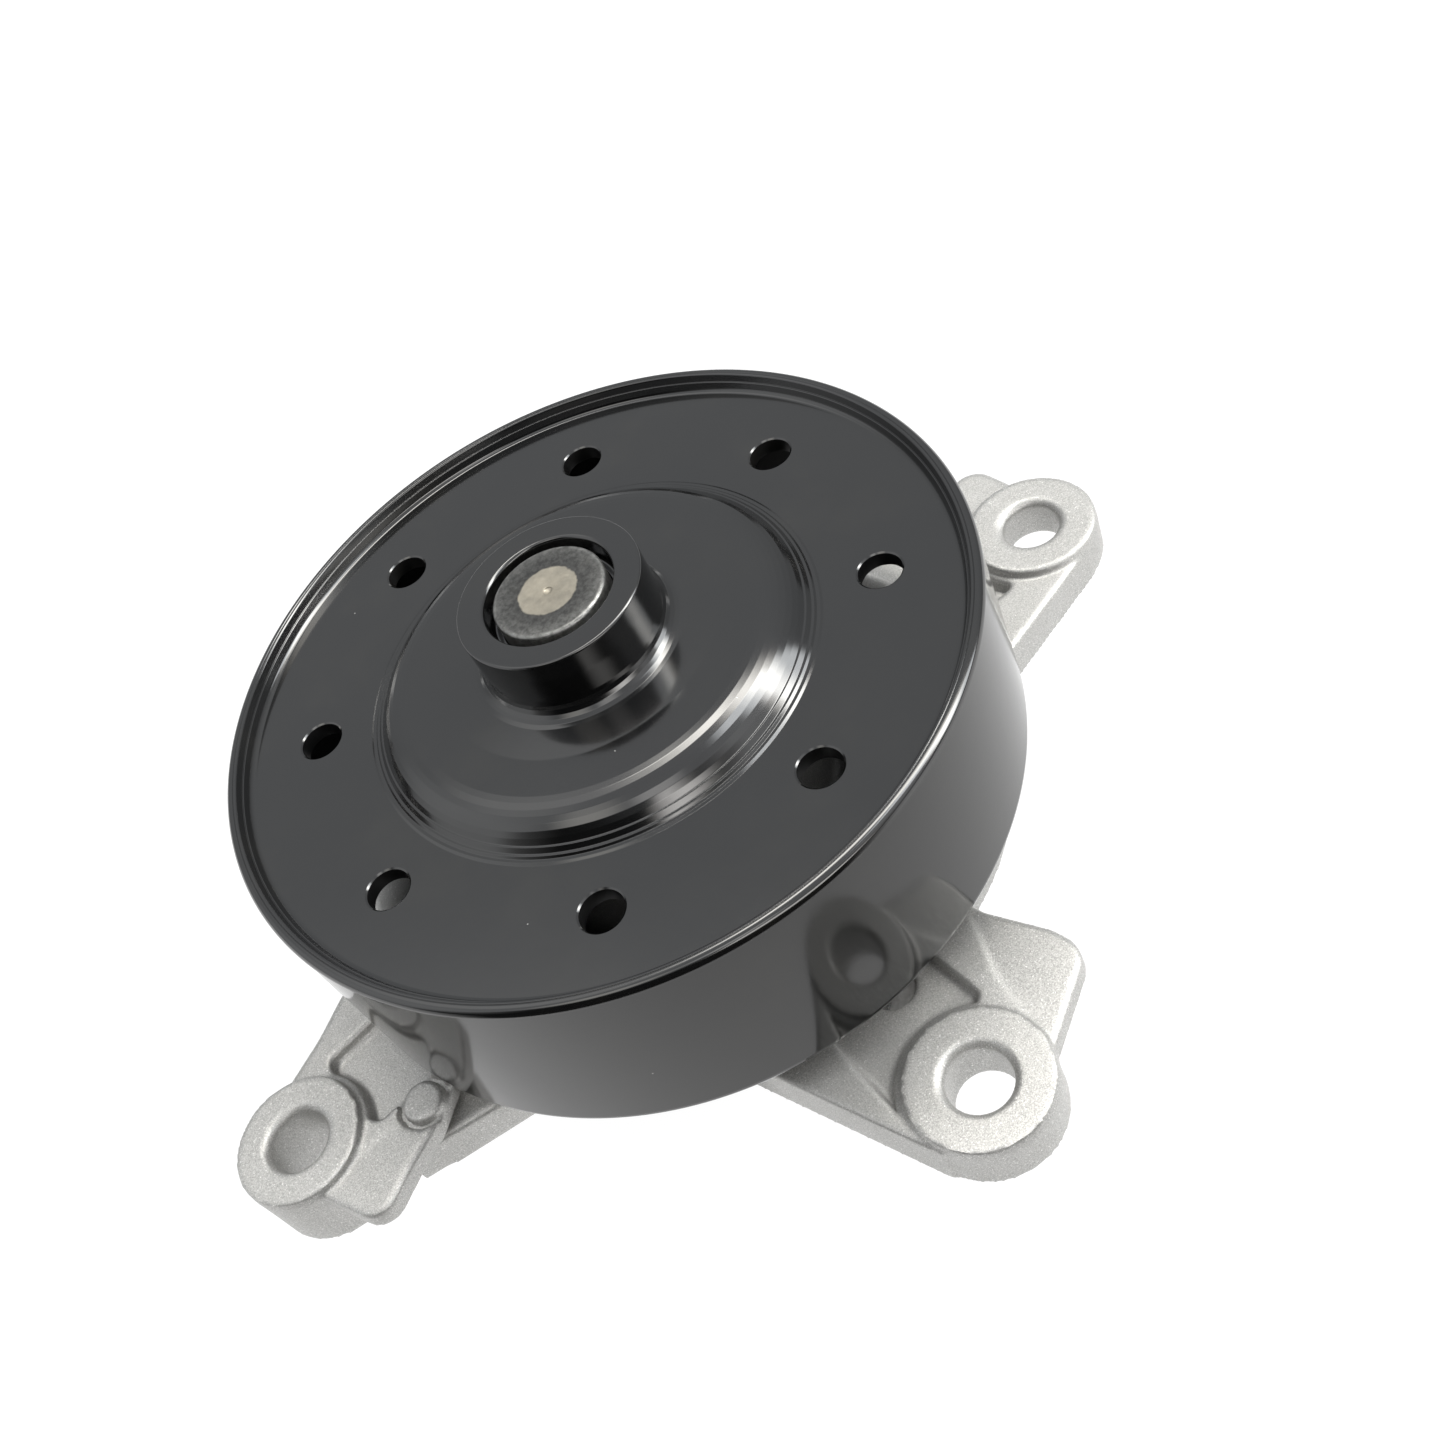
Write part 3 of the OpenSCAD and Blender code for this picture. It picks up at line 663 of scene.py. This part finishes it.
def housing_field(x, y, z):
    """The whole casting: flange, tower, ears, gussets and neck, then its bores and holes."""
    axes = (x, y, z)
    r = np.hypot(x, y)
    flange = prism(np.minimum(np.hypot(x - FLANGE_AT[0], y - FLANGE_AT[1]) - FLANGE_R,
                              np.hypot(x - LOBE_AT[0], y - LOBE_AT[1]) - LOBE_R), z, -2, FLANGE_H, 0.8)
    share = np.clip((z - FLANGE_H) / (TOWER_TOP - FLANGE_H), 0, 1)
    tower = prism(r - TOWER_R[0] + (TOWER_R[0] - TOWER_R[1]) * share, z, 0, TOWER_TOP, 0.8)
    field = join(flange, tower, 3.0)
    for ear in EARS.values():
        block, near, _ = around(axes, ear["angle"], 62, 29, -4, 16)
        field[block] = join(field[block], ear_field(ear, *near), 1.2)
        block, near, _ = around(axes, ear["angle"], 30, 18, 4, 34)
        field[block] = join(field[block], gusset_field(ear["angle"], *near), 2.0)
    field = np.maximum(field, -z)
    field = np.minimum(field, prism(r - NECK_R, z, NECK_LOW, 1, 0.4))
    for radius, low, high in ((SEAL_R, NECK_LOW - 2, SEAL_ROOF), (CHAMBER_R, -3, RACE_LOW + 1),
                              (RACE_R, RACE_LOW, TOWER_TOP + 2)):
        field = cut(field, prism(r - radius, z, low, high))
    mouth = np.maximum((r - RACE_R - (z - TOWER_TOP + 0.8)) * 0.7, TOWER_TOP - 0.9 - z)
    field = cut(field, mouth)
    field = cut(field, prism(np.abs(r - GROOVE_R) - GROOVE_W / 2, z, -1, GROOVE_D))
    return drill_field(field, axes)


def drill_field(field, axes):
    """Takes the bolt holes, dowel holes, drain and cap seat out of the housing."""

    def spot_at(angle, reach, half):
        block, (x, y, z), (cx, cy) = around(axes, angle, reach, half, -4, 16)
        return block, np.hypot(x - cx, y - cy), (x, y, z)

    for ear in EARS.values():
        block, off, (_, _, z) = spot_at(ear["angle"], ear["reach"], 8)
        wide = BOLT_MOUTH_R - BOLT_R
        flare = np.maximum(np.maximum(z - ear["boss"] + wide, wide - z), 0)
        field[block] = cut(field[block], (off - BOLT_R - flare) * 0.8)
    for angle in (EARS["a"]["angle"] + DOWEL_OFF, EARS["d"]["angle"] + DOWEL_OFF):
        block, off, _ = spot_at(angle, DOWEL_AT, 6)
        field[block] = cut(field[block], off - DOWEL_R, 0.5)
    block, off, (x, y, z) = spot_at(DRAIN_ANGLE, DRAIN_CAP_AT, 26)
    u, v = turned(x, y, DRAIN_ANGLE)
    drilling = np.maximum(np.hypot(v, z - DRAIN_Z) - DRAIN_R, 10 - u)
    field[block] = cut(field[block], drilling)
    field[block] = cut(field[block], prism(off - DRAIN_CAP_R, z, DRAIN_Z, 14))
    return field


def make_housing(cell=0.45):
    low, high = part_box("housing")
    axes = samples([v / MM - 2 for v in low], [v / MM + 2 for v in high], cell)
    mesh = skin("housing", housing_field(*axes), axes, cell)
    smooth(mesh, 50)
    mesh.materials.append(SLOT_LOOKS["cast_body"])
    return piece("housing_casting", mesh, "housing", "cast_body", "housing")


# ---------------------------------------------------------------- impeller

def vane_field(angle, x, y):
    """A curved vane: part of a ring wall that leaves the hub at a slant."""
    u, v = turned(x, y, angle)
    centre_u, centre_v = VANE_CENTRE
    wall = np.abs(np.hypot(u - centre_u, v - centre_v) - VANE_R) - VANE_T / 2
    kept = np.maximum(v - centre_v + VANE_PAST_CENTRE, VANE_IN - u)
    return np.maximum(wall, kept)


def impeller_field(x, y, z):
    """The moulding: disc, hub and vanes, with a hole for its bush and three vents."""
    r = np.hypot(x, y)
    disc = prism(r - IMPELLER_R, z, *DISC, 0.5)
    taper = np.clip((z - VANE_LOW) / (DISC[0] - VANE_LOW), 0, 1)
    hub = prism(r - HUB_R - HUB_FLARE * taper, z, VANE_LOW + 1, DISC[1] - 0.6, 0.4)
    vanes = np.minimum.reduce([vane_field(i * 360 / VANES, x, y) for i in range(VANES)])
    vanes = np.maximum(vanes, r - IMPELLER_R + 0.3)
    vanes = prism(vanes, z, VANE_LOW, DISC[0] + 1, 0.35)
    field = join(join(disc, hub, 1.5), vanes, 1.5)
    field = cut(field, r - BUSH_R)
    for angle in VENT_ANGLES:
        a = math.radians(angle)
        field = cut(field, np.hypot(x - VENT_AT * math.cos(a), y - VENT_AT * math.sin(a)) - VENT_R, 0.4)
    return np.maximum(field, VANE_LOW - z)


def make_impeller(cell=0.42):
    low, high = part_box("impeller_disc")
    axes = samples([v / MM - 2 for v in low], [v / MM + 2 for v in high], cell)
    mesh = skin("impeller", impeller_field(*axes), axes, cell)
    smooth(mesh, 50)
    mesh.materials.append(SLOT_LOOKS["moulded_impeller"])
    return piece("impeller_moulding", mesh, "rotor", "moulded_impeller", "impeller_disc")


# ---------------------------------------------------------------- CAD nodes, stage and camera

def dress_cad_nodes():
    """Gives every CAD node that stays the look of its material slot."""
    slots = {part["node"]: part["material_slot"] for part in frame["record"]["subparts"]}
    for name, shown in frame["nodes"].items():
        shown.data.materials.clear()
        shown.data.materials.append(SLOT_LOOKS[slots[name]])


def make_floor():
    """A wide round floor at the object's lowest point."""
    ground = (0, 0, cad_size[0][2])
    bpy.ops.mesh.primitive_circle_add(vertices=96, radius=4, fill_type="NGON", location=ground)
    floor = bpy.context.object
    floor.name = "floor"
    floor.data.materials.append(floor_white())


def flag_black():
    """Black cloth, thinned out towards both ends of the card."""
    look, tree, shader = material("flag_black", (0.002, 0.002, 0.002), 0.9)
    across = node(tree, "SeparateXYZ", {"Vector": node(tree, "TexCoord").outputs["Generated"]}).outputs["X"]
    ends = sums(tree, "MULTIPLY", between(tree, across, 0.0, 0.12), between(tree, across, 1.0, 0.8))
    tree.links.new(ends, shader.inputs["Alpha"])
    return look


def make_flag():
    """A black card bent round the camera's side, which only shows as a reflection in the coat."""
    low, high = cad_size[0][2], 0.062
    corners, faces = [], []
    for k in range(25):
        a = math.radians(190 + 120 * k / 24)
        corners += [(0.125 * math.cos(a), 0.125 * math.sin(a), z) for z in (low, high)]
        if k:
            faces.append((2 * k - 2, 2 * k, 2 * k + 1, 2 * k - 1))
    mesh = bpy.data.meshes.new("flag")
    mesh.from_pydata(corners, [], faces)
    mesh.materials.append(flag_black())
    card = bpy.data.objects.new("flag", mesh)
    bpy.context.scene.collection.objects.link(card)
    card.visible_camera = card.visible_diffuse = card.visible_shadow = card.visible_transmission = False


def make_camera():
    """The camera above the object's near side, turned a little about its own axis."""
    lens = bpy.data.cameras.new("view")
    lens.lens = 39.95
    lens.sensor_width = 36
    lens.clip_start = 0.01
    camera = bpy.data.objects.new("view", lens)
    camera.location = (0.00129, -0.16058, 0.19358)
    camera.rotation_euler = Euler([math.radians(a) for a in (38.586, 19.143, -26.011)])
    bpy.context.scene.collection.objects.link(camera)
    bpy.context.scene.camera = camera


def towards(azimuth, elevation):
    """The direction of a place in the studio."""
    a, e = math.radians(azimuth), math.radians(elevation)
    return (math.cos(a) * math.cos(e), math.sin(a) * math.cos(e), math.sin(e))


def between(tree, value, start, end):
    """Rises smoothly from 0 at start to 1 at end, either way round."""
    ranged = {"Value": value, "From Min": min(start, end), "From Max": max(start, end)}
    if start > end:
        ranged.update({"To Min": 1.0, "To Max": 0.0})
    return node(tree, "MapRange", ranged, interpolation_type="SMOOTHSTEP").outputs["Result"]


def along(tree, gaze, direction):
    """How much of the looked-at direction lies along another."""
    return node(tree, "VectorMath", {0: gaze, 1: direction}, operation="DOT_PRODUCT").outputs["Value"]


def strip(tree, gaze, peak_azimuth, peak, width, start, end):
    """A soft strip light bent over the studio, between two places along its run."""
    off = sums(tree, "ABSOLUTE", along(tree, gaze, towards(peak_azimuth, peak - 90)))
    run = along(tree, gaze, towards(peak_azimuth + (90 if start > 0 else -90), 0))
    body = between(tree, off, math.sin(math.radians(width)), 0)
    ends = sums(tree, "MULTIPLY", between(tree, run, start - 0.06, start + 0.06),
                between(tree, run, end + 0.04, end - 0.04))
    return sums(tree, "MULTIPLY", body, ends)


def spot(tree, gaze, azimuth, elevation, radius):
    """A soft round light."""
    return between(tree, along(tree, gaze, towards(azimuth, elevation)), math.cos(math.radians(radius)), 1)


def make_surroundings():
    """A white studio: two bent strip lights, a side window, some soft lamps and a dark camera side.

    The camera itself sees plain white behind the object.
    """
    world = bpy.data.worlds.new("surroundings")
    world.use_nodes = True
    tree = world.node_tree
    sky = tree.nodes["Background"]
    gaze = node(tree, "TexCoord").outputs["Generated"]
    height = node(tree, "SeparateXYZ", {"Vector": gaze}).outputs["Z"]
    side = sums(tree, "ABSOLUTE", along(tree, gaze, towards(75.5, 0)))
    pane = sums(tree, "MULTIPLY", between(tree, side, 0.22, 0.14),
                between(tree, along(tree, gaze, towards(345.5, 0)), 0.3, 0.42))
    pane = sums(tree, "MULTIPLY", pane, between(tree, height, 0.12, 0.24))
    shade = sums(tree, "MULTIPLY", between(tree, height, 0.78, 0.6),
                 between(tree, along(tree, gaze, towards(250, 0)), 0.4, 0.56))
    lamps = [(9.6, (1.0, 0.97, 0.91), strip(tree, gaze, 58.5, 70.3, 11, -0.26, 0.92)),
             (4.8, (1.0, 0.98, 0.95), strip(tree, gaze, 220, 48.5, 12, 0.5, 0.97)),
             (4.6, (0.95, 0.98, 1.0), pane),
             (1.6, (1.0, 0.98, 0.95), spot(tree, gaze, 262, 60, 12)),
             (1.3, (1.0, 0.96, 0.88), spot(tree, gaze, 217, 56, 16)),
             (0.6, (1.0, 0.98, 0.95), spot(tree, gaze, 128, 62, 22)),
             (0.4, (1.0, 1.0, 1.0), spot(tree, gaze, 170, 25, 40)),
             (0.5, (1.0, 1.0, 1.0), spot(tree, gaze, 312, 35, 25))]
    open_side = sums(tree, "SUBTRACT", 1.0, sums(tree, "MULTIPLY", shade, 0.97))
    base = sums(tree, "MULTIPLY", open_side, between(tree, height, -1.2, 1.4))
    light = node(tree, "VectorMath", {0: (0.78, 0.8, 0.82), "Scale": base}, operation="SCALE").outputs[0]
    for strength, colour, mask in lamps:
        full = tuple(c * strength for c in colour)
        lit = node(tree, "VectorMath", {0: full, "Scale": mask}, operation="SCALE")
        light = node(tree, "VectorMath", {0: light, 1: lit.outputs[0]}, operation="ADD").outputs[0]
    seen = node(tree, "LightPath").outputs["Is Camera Ray"]
    tree.links.new(mixed(tree, seen, light, (1.0, 1.0, 1.0)), sky.inputs["Color"])
    bpy.context.scene.world = world
    bpy.context.scene.view_settings.view_transform = "Standard"


dress_cad_nodes()
make_pulley()
make_shaft()
make_housing()
make_impeller()
make_floor()
make_surroundings()
make_flag()
make_camera()
